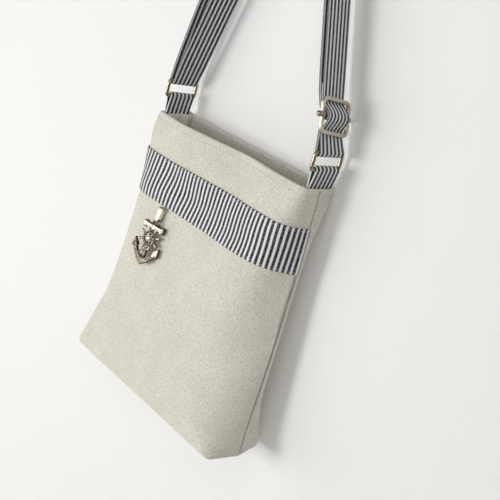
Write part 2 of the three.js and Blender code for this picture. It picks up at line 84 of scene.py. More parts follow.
# The bag's outline at a few heights below the rim. Both sides are alike but for the front's right edge,
# which is drawn in at mid height.
SECTIONS = table(
    "drop front_half front_y seam_half seam_y back_half front_round back_round right_half right_round",
    (0, 83.4, -15.3, 84, 0, 83.4, 3, 2.5, 83.4, 7),
    (14.5, 83.7, -18.4, 84.4, 0, 83.7, 4.5, 4, 83.7, 11),
    (29, 84.2, -20.8, 85, 0, 84, 12, 9, 82.5, 20),
    (64, 85.4, -24.3, 86.4, 0, 85, 25, 25, 71, 18),
    (84, 85.8, -26.1, 87.4, -1, 85.5, 28, 29, 66, 17),
    (105, 86.2, -27.8, 88.6, -2, 86, 30, 31, 66, 22),
    (150, 87.4, -31.8, 91, -5, 87, 29, 30, 80, 54),
    (185, 88.6, -35.8, 93, -8.5, 88.4, 14, 15, 87, 44),
    (205, 90.2, -37.8, 95, -10.3, 90, 5, 5, 90, 14),
    (211, 90.4, -38.2, 95.2, -10.6, 90.2, 5, 5, 90.4, 5),
)

# Soft waves of the front panel: where each is centred, how far it spreads and how far it stands out
FRONT_FOLDS = table(
    "across drop wide tall out",
    (-48, 0, 26, 34, 4),
    (20, 0, 24, 30, -4),
    (36, 62, 14, 26, 1.6),
)

# Puckers of the striped band: each lifts the band a little off the panel
BAND_PUCKERS = table(
    "across drop wide tall out",
    (-62, 38, 14, 7, 0.5),
    (-40, 50, 13, 8, 0.6),
    (-14, 39, 13, 7, 0.5),
    (12, 52, 13, 8, 0.4),
)

# Where the middle stripe starts, and where the band's cloth is drawn aside so that its stripes wave
STRIPE_START = -7.4 * MM
STRIPE_DRIFTS = table(
    "across drop wide tall out",
    (-41, 27.5, 17, 15.5, -3.6),
    (-12, 47, 26, 13.5, -3.3),
    (-86, 57.5, 50, 13, 3),
    (36, 54, 25, 11.5, -2.3),
    (54.5, 43, 14, 40, 1.3),
)

# Where the strap's pull lifts the rim: the place, its spread and its rise
RIM_LIFTS = table("across depth wide tall out", (-86, 10, 22, 14, 2.4))
RIM_LIFT_DROP = 40 * MM

# Where the facing's left side folds into the mouth beside its back corner
FACING_FOLDS = table("depth drop wide tall out", (6.5, 0, 4, 34, 3.2))
FACING_LEFT = -60 * MM

# The base's edge and the rim's lip, rolled over in small steps
BASE_EDGE = table("lift inset", (3, 0), (1.9, 0.15), (0.8, 0.7), (0.25, 1.4), (0, 2.2))
RIM_LIP = table("drop inset", (0.9, 2), (0.25, 1.75), (0, 1.2), (0, 0.75), (0.25, 0.2), (0.9, 0))

ROUND_SHRINK = 4 - 8 ** 0.5
FRONT_STEPS, CORNER_STEPS, SIDE_STEPS, BACK_STEPS = 30, 12, 7, 14
SEAM_INDEX = FRONT_STEPS + CORNER_STEPS + SIDE_STEPS + 1
SEAM_HALF = 0.55 * MM
# Distances between the rows of the pouch's inside and outside, the facing and the band
INSIDE_PITCH, OUTSIDE_PITCH, FACING_PITCH, BAND_PITCH = 8 * MM, 4 * MM, 5 * MM, 1.8 * MM

# Topstitching
STITCH_GAP, STITCH_RADIUS = 0.7 * MM, 0.24 * MM
RIM_STITCH_DROP = 5 * MM
BAND_STITCH_INSET = 1.7 * MM

# Strap and hardware

STRAP_WIDTH = 25 * MM
STRAP_THICK = 1.3 * MM
# Beyond this distance from the strap's middle, its edge faces are painted dark as shade
STRAP_SHADED_EDGE = 12.3 * MM
LAYER_PITCH = STRAP_THICK + GAP
WIRE = 2.8 * MM
WRAP_RADIUS = WIRE / 2 + GAP + STRAP_THICK / 2
HANG_RADIUS = 8 * MM
RING_X = 81.6 * MM
RING_LOW = 13.4 * MM
RING = {"width": 28.4 * MM, "height": 12.2 * MM, "corner": 2 * MM}
SLIDER = {"width": 30.6 * MM, "height": 22.4 * MM, "corner": 4 * MM}
SLIDER_RISE = 24 * MM
SLIDER_TAIL = 22 * MM
RING_TAIL_END = -9 * MM
LEFT_OUTER_BOW = 12 * MM
LEFT_INNER_BOW = 3 * MM
RIGHT_INNER_BOW = 1 * MM
SLACK = 4 * MM
TAB_TAIL = 9 * MM
TAB_SLOT = 2 * STRAP_THICK + GAP + 4 * SKIN_GAP
TAB_WIDTH = 23.6 * MM
# How far each tab's upper and lower end lie towards the back
TAB_SHIFTS = {"tab_left": (0.9 * MM, -2.4 * MM), "tab_right": (0.9 * MM, 3.6 * MM)}
BAR_EYE_WALL, BAR_EYE_HALF = 0.8 * MM, 1.7 * MM
BALL_RADIUS = 2 * MM
BEND_STEPS, TOP_STEPS, LEG_STEPS = 14, 18, 20
WEAVE_STEPS = 13
RIGHT_TWIST = radians(-6)
LEFT_TWIST = radians(4)
SLIDER_LEAN = radians(-4)

# Charm

CHARM_X = -37.8 * MM
CHARM_DROP = 66.6 * MM
CHARM_CLEAR = 2.3 * MM
THREAD_HALF, THREAD_BEND, THREAD_RADIUS = 3.8 * MM, 1 * MM, 0.6 * MM
THREAD_TURNS = 4
BAIL_LENGTH, BAIL_INNER, BAIL_OUTER = 9.2 * MM, 1.3 * MM, 1.9 * MM
BAIL_TILT = radians(6.4)
# The bail's half-width, from its foot in the anchor's eye up to the thread
BAIL_HALVES = table("up half", (-11.4, 0.7), (-8.9, 1.1), (-8.2, 2.15), (2.2, 2.45))
EYE_HOLE, EYE_OUTER, EYE_HALF = 2 * MM, 3.2 * MM, 0.5 * MM
EYE_Z = -(BAIL_LENGTH + BAIL_INNER - 3 * GAP + EYE_HOLE)
CROWN_Z = -36.2 * MM
ANCHOR_PITCH, ANCHOR_TILT, ANCHOR_TURN = radians(-4), radians(2), radians(16)
SHANK = ((-1.3, -2.4), (1.3, -2.4), (1.9, -33.2), (-1.9, -33.2))
CAST_BACK, SHANK_THICK, ARM_THICK, CAST_EDGE = -0.9 * MM, 2.2 * MM, 2.9 * MM, 0.5 * MM
# The stock's right half in millimetres, across and half as high: engraved cuts, then a cap
STOCK_CUTS = (1.4, 2.6, 3.8, 5, 6.2)
STOCK_BAR, STOCK_CUT, STOCK_CUT_HALF = 2.2, 1.5, 0.3
STOCK_CAP = ((7, 2.2), (7.15, 2.75), (8.1, 2.8), (8.35, 2.4), (8.6, 2.8), (9.4, 2.75), (9.8, 2.2))
STOCK_Y, STOCK_Z, STOCK_DEPTH = -0.5, -3.6, 0.8
WHEEL = Vector((0, -1.5, -13.2)) * MM
WHEEL_RIM = WHEEL - Vector((0, 0.15, 0)) * MM
WHEEL_RADIUS, WHEEL_HALF = 4.85 * MM, 0.75 * MM
WHEEL_LIPS = (4.35 * MM, 5.35 * MM)
LIP_PLACE = WHEEL_RIM - Vector((0, 0.7, 0)) * MM
LIP_WIDE, LIP_THICK = 0.25 * MM, 0.3 * MM
WHEEL_HANDLES = 8
# Radius and height of the wheel's hub and of one handle
HUB = pairs((0, 1.95), (0.7, 1.92), (1.4, 1.75), (1.85, 1.45), (2.05, 1), (2, 0.5), (2.4, 0.5), (2.6, 0.3),
            (2.6, -0.6), (0, -0.6))
HANDLE = pairs((0, 1.2), (0.6, 1.2), (0.5, 3), (0.6, 4.6), (0.65, 5.5), (1.05, 5.9), (0.7, 6.4),
               (0.85, 7.2), (1.15, 8.2), (1.2, 9), (1.05, 9.7), (0.65, 10.05), (0, 10.15))
ROPE_WAY = ((5, -17), (3, -21.2), (-2.4, -24.2), (-4, -27.4), (-0.6, -30.4), (4.6, -29.2), (8.4, -25.2))
ROPE_Y, ROPE_RADIUS = -1.8 * MM, 0.85 * MM
# How brightly each part of the anchor is worn; the hub's high value is also a painted highlight. The arms
# grow lighter towards the right as a painted reflection.
POLISH_AND_HIGHLIGHT = {"arms": 0.0, "stock": 0.42, "rim": 0.1, "hub": 1.2, "handles": 0.4, "rope": 0.6}
ARMS_REFLECTION_TO_RIGHT = 17

# Stage

WALL_Y = 20 * MM
FLOOR_Z = -1.5
STAGE_REACH = 4.0
# Each lamp's place, size and power. All of them point at the middle of the bag.
LAMPS = {
    "key": ((-0.45, -1.45, -0.36), 0.6, 12.3),
    "wash": ((-1.2, -1.1, -0.7), 1.2, 9.0),
    "fill": ((0.62, -1.2, 0.38), 1.6, 9.2),
    "behind": ((-0.4, 1.7, 0.0), 1.6, 11.0),
}
LAMP_TARGET = Vector((0, 0, -0.34))
ROOM_COLOUR, ROOM_STRENGTH = "EDE6DC", 0.23
CAMERA_PLACE = Vector((430, -440.35, -115)) * MM
CAMERA_TURN, CAMERA_RISE, CAMERA_ROLL = radians(41.7), radians(19), radians(16.7)
CAMERA_LENS = 60.4


def length(name, description, size):
    """A length property whose default is given in metres."""
    return FloatProperty(name=name, description=description, default=size, unit="LENGTH")


class BagSizes(bpy.types.PropertyGroup):
    """Sizes of the bag's cloth pieces."""

    height: length("Height", "From the rim to the base", 211 * MM)
    wall: length("Wall", "Thickness of the felted canvas", CANVAS_THICK)
    facing_depth: length("Facing depth", "From the rim to the facing's hem", 46.5 * MM)
    band_top: length("Band top", "From the rim to the band's upper edge", 29 * MM)
    band_bottom: length("Band bottom", "From the rim to the band's lower edge", 64 * MM)
    seam_groove: length("Seam groove", "How deep the side seams draw in", 1.7 * MM)
    stripe_pitch: length("Stripe pitch", "One dark and one white stripe", 4.1 * MM)
    stitch: length("Stitch", "Length of one topstitch", 2.3 * MM)
    rope_turns: IntProperty(name="Rope turns", description="Turns of the anchor rope's strands", default=9)


def colour(name, description, code):
    """A colour property whose default is a hex colour."""
    return FloatVectorProperty(
        name=name, description=description, default=srgb(code), size=4, subtype="COLOR")


class BagColours(bpy.types.PropertyGroup):
    """Colours of the bag's cloth and metal."""

    canvas: colour("Canvas", "Ground of the felted canvas", "D2CFC5")
    canvas_shade: colour("Canvas shade", "Darker grey fibres of the canvas", "A9A69C")
    canvas_fleck: colour("Canvas fleck", "Straw-coloured fibres of the canvas", "D8CDAF")
    navy: colour("Navy", "Dark stripe", "22242C")
    white: colour("White", "White stripe", "D6D7D9")
    # A darker copy of the nickel colour: painted shade for the dark surroundings the rings reflect
    wire: colour("Wire", "Plated rings and slider bar", "988E7B")
    nickel: colour("Nickel", "Plated bail and slider frame", "C5BDAF")
    # Silver is also the colour of the painted highlight on the hub and of the arms' painted lighter right
    # side
    silver: colour("Silver", "Worn high places of the anchor", "CFC6B4")
    patina: colour("Patina", "Dark recesses of the anchor", "453D33")
    thread: colour("Thread", "Sewing thread", "BEBBB0")
    wall: colour("Wall", "Backdrop and floor", "E1E1E0")


# Mesh helpers


def ring_start(bm, points):
    """A closed loop of edges through the points."""
    verts = [bm.verts.new(point) for point in points]
    for here, after in zip(verts, verts[1:] + verts[:1]):
        bm.edges.new((here, after))
    return verts


def ring_edges(bm, ring):
    return [bm.edges.get(pair) for pair in zip(ring, ring[1:] + ring[:1])]


def ring_extrude(bm, ring, points):
    """Extrudes a loop and moves its copy to the points."""
    made = bmesh.ops.extrude_edge_only(bm, edges=ring_edges(bm, ring))["geom"]
    fresh = {item for item in made if isinstance(item, bmesh.types.BMVert)}
    following = []
    for vert, point in zip(ring, points):
        ends = (edge.other_vert(vert) for edge in vert.link_edges)
        twin = next(end for end in ends if end in fresh)
        twin.co = point
        following.append(twin)
    return following


def loft(bm, loops, closed=False):
    """Extrudes the first loop through the others. The ends are capped, or bridged where it closes."""
    rings = [ring_start(bm, loops[0])]
    for points in loops[1:]:
        rings.append(ring_extrude(bm, rings[-1], points))
    first, last = ring_edges(bm, rings[0]), ring_edges(bm, rings[-1])
    if closed:
        bmesh.ops.bridge_loops(bm, edges=first + last)
    else:
        bmesh.ops.contextual_create(bm, geom=first)
        bmesh.ops.contextual_create(bm, geom=last)
    return rings


def sweep(bm, places, section, closed=False):
    """Carries a section along places, each a middle and the section's two half-widths as vectors."""
    return loft(bm, [[mid + a * u + b * v for a, b in section] for mid, u, v in places], closed)


def circle(sides):
    return [(cos(tau * i / sides), sin(tau * i / sides)) for i in range(sides)]


def squared(sides, power):
    """A section between a circle and a square: the smaller the power, the squarer."""
    def press(share):
        return abs(share) ** power * (1 if share > 0 else -1)
    return [(press(a), press(b)) for a, b in circle(sides)]


def strip_section(steps, edge):
    """A flat strip's section: both faces in a few steps, joined by rounded edges."""
    across = [(1 - edge) * (2 * i / steps - 1) for i in range(steps + 1)]
    top = [(a, 1.0) for a in across]
    side = [(1 - 0.25 * edge, 0.75), (1.0, 0.0), (1 - 0.25 * edge, -0.75)]
    below = [(-a, -1.0) for a in across]
    far = [(-a, -b) for a, b in side]
    return top + side + below + far


def absorb(bm, part, matrix=Matrix()):
    """Adds a finished part to a mesh that is being made."""
    bmesh.ops.transform(part, matrix=matrix, verts=part.verts)
    bmesh.ops.recalc_face_normals(part, faces=part.faces)
    carrier = bpy.data.meshes.new("part")
    part.to_mesh(carrier)
    part.free()
    bm.from_mesh(carrier)
    bpy.data.meshes.remove(carrier)


def lathe(profile, steps):
    """Turns a profile of radius and height about Z."""
    part = bmesh.new()
    verts = [part.verts.new((radius, 0, height)) for radius, height in profile]
    edges = [part.edges.new(pair) for pair in zip(verts, verts[1:])]
    bmesh.ops.spin(part, geom=verts + edges, cent=(0, 0, 0), axis=(0, 0, 1), angle=tau,
                   steps=steps, use_merge=True, use_duplicate=False)
    bmesh.ops.remove_doubles(part, verts=part.verts, dist=1e-7)
    return part


def plate(corners, back, thick, bevel):
    """A flat shape drawn in X and Z, thickened towards -Y, with its edges rounded."""
    part = bmesh.new()
    verts = [part.verts.new((x, -back, z)) for x, z in corners]
    face = part.faces.new(verts)
    made = bmesh.ops.extrude_face_region(part, geom=[face])["geom"]
    moved = [item for item in made if isinstance(item, bmesh.types.BMVert)]
    bmesh.ops.translate(part, verts=moved, vec=(0, -thick, 0))
    bmesh.ops.recalc_face_normals(part, faces=part.faces)
    rim = [edge for edge in part.edges if edge.calc_face_angle(0) > radians(30)]
    bmesh.ops.bevel(part, geom=rim, offset=bevel, segments=2, profile=0.5, affect="EDGES",
                    clamp_overlap=True, material=-1)
    return part


def finish_piece(bm, name, material, body="bag", nodes=(), sharp=None, place=Matrix()):
    """Puts the mesh in place and makes it an object that rides on its body and stands for its nodes."""
    bmesh.ops.transform(bm, matrix=place, verts=bm.verts)
    bmesh.ops.recalc_face_normals(bm, faces=bm.faces)
    mesh = bpy.data.meshes.new(name)
    bm.to_mesh(mesh)
    bm.free()
    mesh.materials.append(material)
    mesh.shade_smooth()
    if sharp:
        mesh.set_sharp_from_angle(angle=radians(sharp))
    piece = bpy.data.objects.new(name, mesh)
    bpy.context.scene.collection.objects.link(piece)
    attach(piece, body)
    if nodes:
        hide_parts(*nodes)


def stitch_row(bm, line, length, gap, radius, flat=0.6):
    """Small spindles laid end to end along a line of points with their outward directions."""
    step = length + gap
    travelled = 0.0
    due = gap
    for (here, out), (after, _) in zip(line, line[1:]):
        span = (after - here).length
        while span and due <= travelled + span:
            share = (due - travelled) / span
            along = (after - here).normalized()
            across = along.cross(out).normalized()
            lift = across.cross(along)
            turn = Matrix((along, across, lift)).transposed().to_4x4()
            place = Matrix.Translation(here.lerp(after, share)) @ turn
            scale = Matrix.Diagonal((length / 2, radius, radius * flat, 1))
            bmesh.ops.create_icosphere(bm, subdivisions=1, radius=1, matrix=place @ scale)
            due += step
        travelled += span


# Bag outline


def section_at(drop):
    """The section table's row at any height, on a smooth curve through its rows."""
    last = len(SECTIONS) - 1
    below = next((i for i, row in enumerate(SECTIONS) if row["drop"] >= drop), last)
    i = max(0, below - 1)
    upper, lower = SECTIONS[i], SECTIONS[i + 1]
    span = lower["drop"] - upper["drop"]
    s = (drop - upper["drop"]) / span

    def slope(k, key):
        before, after = SECTIONS[max(k - 1, 0)], SECTIONS[min(k + 1, last)]
        return (after[key] - before[key]) / (after["drop"] - before["drop"])

    return {
        key: (1 + 2 * s) * (1 - s) ** 2 * upper[key] + s ** 2 * (3 - 2 * s) * lower[key]
        + s * (1 - s) * span * ((1 - s) * slope(i, key) - s * slope(i + 1, key))
        for key in upper
    }


def bumps(rows, across, other):
    """How far a table of soft bumps stands out at a place, given in the table's first two columns."""
    total = 0.0
    for first, second, wide, tall, out in (row.values() for row in rows):
        total += out * exp(-((across - first) / wide) ** 2 - ((other - second) / tall) ** 2)
    return total


def cloth_wave(x, drop):
    """The canvas's own slight unevenness."""
    broad = noise.noise(Vector((x, drop, 0.3)) / (42 * MM))
    small = noise.noise(Vector((x, drop, 0.7)) / (15 * MM))
    return (0.7 * broad + 0.2 * small) * MM


def smooth(share):
    share = min(1.0, max(0.0, share))
    return share * share * (3 - 2 * share)


def bend(start, control, end, steps):
    """Points of a curve with one control point, without its last point."""
    shares = [i / steps for i in range(steps)]
    return [(1 - t) ** 2 * start + 2 * t * (1 - t) * control + t * t * end for t in shares]


def half_outline(row, front_half, front_round, inset_x, inset_y, groove):
    """One side of the outline at a height, from the middle of the front to the middle of the back."""
    front = Vector((front_half - inset_x, row["front_y"] + inset_y))
    seam = Vector((row["seam_half"] - inset_x, row["seam_y"]))
    back = Vector((row["back_half"] - inset_x, BACK_Y - inset_y))

    def round_off(corner, length):
        length = max(GAP, length - ROUND_SHRINK * inset_y)
        share = min(length / (corner - seam).length, 0.95)
        return Vector((corner.x - length, corner.y)), corner.lerp(seam, share)

    front_panel, front_side = round_off(front, front_round)
    back_panel, back_side = round_off(back, row["back_round"])
    middle = Vector((0, front.y))
    points = [middle.lerp(front_panel, i / FRONT_STEPS) for i in range(FRONT_STEPS)]
    points += bend(front_panel, front, front_side, CORNER_STEPS)
    front_lip = seam.lerp(front_side, min(0.8, SEAM_HALF / (front_side - seam).length))
    back_lip = seam.lerp(back_side, min(0.8, SEAM_HALF / (back_side - seam).length))
    points += [front_side.lerp(front_lip, i / SIDE_STEPS) for i in range(SIDE_STEPS)]
    points += [front_lip, seam - Vector((groove, 0)), back_lip + Vector((0.3 * groove, 0))]
    points += [back_lip.lerp(back_side, i / SIDE_STEPS) for i in range(1, SIDE_STEPS)]
    points += bend(back_side, back, back_panel, CORNER_STEPS)
    points += [back_panel.lerp(Vector((0, back.y)), i / BACK_STEPS) for i in range(BACK_STEPS + 1)]
    return points


def outline(drop, inset_x=0.0, inset_y=None, groove=0.0):
    """The bag's outline at one height, from the middle of the front round by the right side."""
    inset_y = inset_x if inset_y is None else inset_y
    row = section_at(drop)
    right = half_outline(row, row["right_half"], row["right_round"], inset_x, inset_y, groove)
    left = half_outline(row, row["front_half"], row["front_round"], inset_x, inset_y, groove)
    loop = right + [Vector((-point.x, point.y)) for point in reversed(left[1:-1])]
    points = []
    for point in loop:
        share = smooth((row["seam_y"] - point.y) / (row["seam_y"] - row["front_y"] - inset_y))
        out = bumps(FRONT_FOLDS, point.x, drop) + cloth_wave(point.x, drop)
        lift = bumps(RIM_LIFTS, point.x, point.y) * exp(-(drop / RIM_LIFT_DROP) ** 2)
        points.append(Vector((point.x, point.y - share * out, RIM_Z - drop + lift)))
    return points


def band_line(drop, layer):
    """A row of the band from the left seam to the right, puckered where it stands off the panel."""
    loop = outline(drop, -SKIN_GAP - layer * BAND_THICK)
    line = loop[-SEAM_INDEX:] + loop[:SEAM_INDEX + 1]
    if layer:
        line = [point - Vector((0, bumps(BAND_PUCKERS, point.x, drop), 0)) for point in line]
    return line


def facing_out(points):
    """Each point of a level line but the last, with its outward direction."""
    up = Vector((0, 0, 1))
    return [(here, (after - here).cross(up).normalized()) for here, after in zip(points, points[1:])]


def steps_between(low, high, pitch):
    count = max(1, ceil((high - low) / pitch))
    return [low + (high - low) * i / count for i in range(count + 1)]


# Strap line, drawn in X and Z


def flat_angle(vector):
    return atan2(vector.y, vector.x)


def arc(centre, radius, start, end, steps):
    """Points round a bar from one angle to another."""
    angles = [start + (end - start) * i / steps for i in range(steps + 1)]
    return [centre + radius * Vector((cos(angle), sin(angle))) for angle in angles]


def tangent(start, start_left, end, end_left):
    """The straight line that passes two round bars, each on its left by the given distance."""
    span = end - start
    angle = flat_angle(span) - asin((start_left - end_left) / span.length)
    left = Vector((-sin(angle), cos(angle)))
    return start + start_left * left, end + end_left * left, left


def leg(line, bow, steps):
    """Points along a tangent line that bows to its left between its ends."""
    start, end, left = line
    shares = [i / steps for i in range(steps + 1)]
    return [start.lerp(end, share) + bow * sin(pi * share) * left for share in shares]


HANG = Vector((0, -HANG_RADIUS))
INNER_TURN = HANG_RADIUS + STRAP_THICK / 2
OUTER_TURN = INNER_TURN + LAYER_PITCH
UPPER_BAR = RIM_Z + RING_LOW + RING["height"]
LEFT_BAR = Vector((-RING_X, UPPER_BAR))
RIGHT_BAR = Vector((RING_X, UPPER_BAR))
RIGHT_LEG = tangent(RIGHT_BAR, 0, HANG, -OUTER_TURN)
LEG_UP = (RIGHT_LEG[1] - RIGHT_LEG[0]).normalized()
LEG_OUT = -RIGHT_LEG[2]
LEG_TILT = atan2(-LEG_UP.x, LEG_UP.y)
SLIDER_MIDDLE = RIGHT_BAR + SLIDER_RISE * LEG_UP + WRAP_RADIUS * LEG_OUT


def by_slider(up, out):
    """A point beside the slider: how far up the strap from its middle, and how far out."""
    return SLIDER_MIDDLE + up * LEG_UP + out * LEG_OUT


def strap_line():
    """The strap's middle line, from its end on the right ring to its end on the slider's bar."""
    reach = SLIDER["height"] / 2
    crest = WRAP_RADIUS + LAYER_PITCH

    def weave_out(up):
        share = (1 + cos(pi * min(1, abs(up) / reach))) / 2
        return -WRAP_RADIUS + (crest + WRAP_RADIUS) * share

    left_outer = tangent(HANG, -OUTER_TURN, LEFT_BAR, -WRAP_RADIUS)
    left_inner = tangent(LEFT_BAR, -WRAP_RADIUS, HANG, INNER_TURN)
    slack_end = by_slider(SLIDER_TAIL + 8 * MM, -WRAP_RADIUS - SLACK)
    right_inner = tangent(HANG, INNER_TURN, slack_end, 0)
    out_angle = LEG_TILT
    in_angle = LEG_TILT + pi
    outer_left = flat_angle(-left_outer[2])
    inner_left = flat_angle(left_inner[2])
    inner_right = flat_angle(right_inner[2])

    def sewn(up):
        lean = (weave_out(up + GAP) - weave_out(up - GAP)) / (2 * GAP)
        return by_slider(up, weave_out(up) - LAYER_PITCH * hypot(1, lean))

    ring_end = [by_slider(RING_TAIL_END, -WRAP_RADIUS - LAYER_PITCH)]
    ring_end += arc(RIGHT_BAR, WRAP_RADIUS, in_angle, out_angle + tau, BEND_STEPS)
    rises = [reach * (i / WEAVE_STEPS - 1) for i in range(2 * WEAVE_STEPS + 1)]
    weave = [by_slider(rise, weave_out(rise)) for rise in rises]
    up_right = [weave[-1].lerp(RIGHT_LEG[1], i / BEND_STEPS) for i in range(1, BEND_STEPS)]
    over_top = arc(HANG, OUTER_TURN, out_angle, outer_left, TOP_STEPS)
    down_left = leg(left_outer, -LEFT_OUTER_BOW, LEG_STEPS + 4)[1:-1]
    round_ring = arc(LEFT_BAR, WRAP_RADIUS, outer_left, inner_left + pi, BEND_STEPS)
    up_left = leg(left_inner, LEFT_INNER_BOW, LEG_STEPS)[1:-1]
    under_top = arc(HANG, INNER_TURN, inner_left, inner_right, TOP_STEPS)
    down_right = leg(right_inner, -RIGHT_INNER_BOW, LEG_STEPS)[1:]
    to_bar = [
        by_slider(reach + 6 * MM, -WRAP_RADIUS - 2.3 * LAYER_PITCH),
        by_slider(reach - 4 * MM, -WRAP_RADIUS - 1.5 * LAYER_PITCH),
    ]
    round_bar = arc(SLIDER_MIDDLE, WRAP_RADIUS, in_angle, out_angle + tau, BEND_STEPS)
    tail = [sewn(reach * share) for share in (0.15, 0.25, 0.35, 0.45, 0.55, 0.65, 0.8, 1, 1.6)]
    tail.append(sewn(SLIDER_TAIL))
    return (ring_end + weave + up_right + over_top + down_left + round_ring
            + up_left + under_top + down_right + to_bar + round_bar + tail)


def tab_line(side):
    """A tab's middle line: up from inside the rim, round the ring's lower bar and back down."""
    bar = Vector((RING_X, RIM_Z + RING_LOW))
    outer = section_at(0)["front_half"] - CANVAS_THICK - SKIN_GAP - STRAP_THICK / 2
    inner = outer - LAYER_PITCH
    line = [Vector((inner, RIM_Z - TAB_TAIL)), Vector((inner, RIM_Z))]
    line += arc(bar, WRAP_RADIUS, pi, 0, BEND_STEPS)
    line += [
        Vector((outer + STRAP_THICK, RIM_Z + RING_LOW / 3)),
        Vector((outer, RIM_Z)),
        Vector((outer, RIM_Z - TAB_TAIL)),
    ]
    return [Vector((side * point.x, point.y)) for point in line]


def strap_turn(point):
    """How far the strap is twisted at a point: most where it leaves the ring, none at the top."""
    rise = (point.y - UPPER_BAR) / (HANG.y - UPPER_BAR)
    twist = RIGHT_TWIST if point.x > 0 else LEFT_TWIST
    return twist * smooth(rise / 0.08) * smooth((1 - rise) / 0.6)


def strap_lean(point):
    """How far the strap's crosswise direction tips up where it goes round the slider's leaning bar."""
    if point.x < 0:
        return 0.0
    return sin(SLIDER_LEAN) * exp(-((point.y - SLIDER_MIDDLE.y) / (12 * MM)) ** 2)


def webbing(bm, line, width, shift=(0.0, 0.0), twisted=False):
    """A strip of webbing along a line in X and Z, shifted along Y from its highest point to its lowest."""
    places = []
    last = len(line) - 1
    top, low = max(point.y for point in line), min(point.y for point in line)
    for i, point in enumerate(line):
        along = (line[min(i + 1, last)] - line[max(i - 1, 0)]).normalized()
        angle, lean = (strap_turn(point), strap_lean(point)) if twisted else (0.0, 0.0)
        fall = (top - point.y) / (top - low)
        middle = Vector((point.x, shift[0] + (shift[1] - shift[0]) * fall, point.y))
        across = Vector((sin(angle), cos(angle), lean)) * width / 2
        through = Vector((-along.y, 0, along.x)) * STRAP_THICK / 2
        places.append((middle, across, through))
    section = strip_section(8, 0.05)
    across_strip = bm.verts.layers.float.new("across")
    for ring in sweep(bm, places, section):
        for vert, corner in zip(ring, section):
            vert[across_strip] = corner[0] * width / 2


# Materials

# Where a colour mix takes its two colours and gives their blend
MIX_A, MIX_B, MIXED = 6, 7, 2


def add_node(tree, kind, inputs=None, **settings):
    """Adds a node, sets it, and links or fills its inputs."""
    made = tree.nodes.new(kind)
    for name, value in settings.items():
        setattr(made, name, value)
    for name, value in (inputs or {}).items():
        if isinstance(value, bpy.types.NodeSocket):
            tree.links.new(value, made.inputs[name])
        else:
            made.inputs[name].default_value = value
    return made


def material(build, *values, name=None):
    """The material whose shader a function builds, made on first use and named after it or as given."""
    name = name or build.__name__
    made = bpy.data.materials.get(name)
    if not made:
        made = bpy.data.materials.new(name)
        made.use_nodes = True
        tree = made.node_tree
        tree.nodes.clear()
        shader = build(tree, *values)
        add_node(tree, "ShaderNodeOutputMaterial", {"Surface": shader.outputs[0]})
    return made


def principled(tree, inputs):
    return add_node(tree, "ShaderNodeBsdfPrincipled", inputs)


def object_place(tree):
    return add_node(tree, "ShaderNodeTexCoord").outputs["Object"]


def noise_share(tree, place, scale, detail, **more):
    """A noise, as a share from 0 to 1."""
    inputs = {"Vector": place, "Scale": scale, "Detail": detail, **more}
    return add_node(tree, "ShaderNodeTexNoise", inputs).outputs["Fac"]


def ranged(tree, value, low, high, least=0.0, most=1.0):
    """A value's place between low and high, as a number from least to most."""
    inputs = {"Value": value, "From Min": low, "From Max": high, "To Min": least, "To Max": most}
    return add_node(tree, "ShaderNodeMapRange", inputs).outputs[0]


def maths(tree, operation, *values):
    return add_node(tree, "ShaderNodeMath", dict(enumerate(values)), operation=operation).outputs[0]


def mixed(tree, share, colour_a, colour_b):
    """Two colours blended by a share."""
    inputs = {0: share, MIX_A: colour_a, MIX_B: colour_b}
    return add_node(tree, "ShaderNodeMix", inputs, data_type="RGBA").outputs[MIXED]


def relief(tree, height, strength, distance):
    """The normal of a surface raised by a height."""
    inputs = {"Height": height, "Strength": strength, "Distance": distance}
    return add_node(tree, "ShaderNodeBump", inputs).outputs[0]


def felted_canvas(tree, colours):
    """Felted wool-blend canvas: a heathered ground with straw and grey fibres, matte and a little fuzzy."""
    place = object_place(tree)
    # Fibre clumps about 1.1 mm wide, as coarse as the render can show
    heather = noise_share(tree, place, 880, 4, Roughness=0.65)
    cloud = noise_share(tree, place, 55, 3)
    fleck = noise_share(tree, place, 430, 2, Distortion=1.5)
    grey = ranged(tree, heather, 0.44, 0.64, most=0.75)
    straw = ranged(tree, fleck, 0.55, 0.7, most=0.45)
    patch = ranged(tree, cloud, 0.35, 0.75, most=0.22)
    ground = mixed(tree, grey, colours.canvas, colours.canvas_shade)
    flecked = mixed(tree, straw, ground, colours.canvas_fleck)
    toned = mixed(tree, patch, flecked, colours.canvas_shade)
    return principled(tree, {
        "Base Color": toned, "Roughness": 0.95, "Sheen Weight": 0.2, "Sheen Roughness": 0.6,
        "Specular IOR Level": 0.15, "Normal": relief(tree, heather, 0.5, 0.5 * MM)})


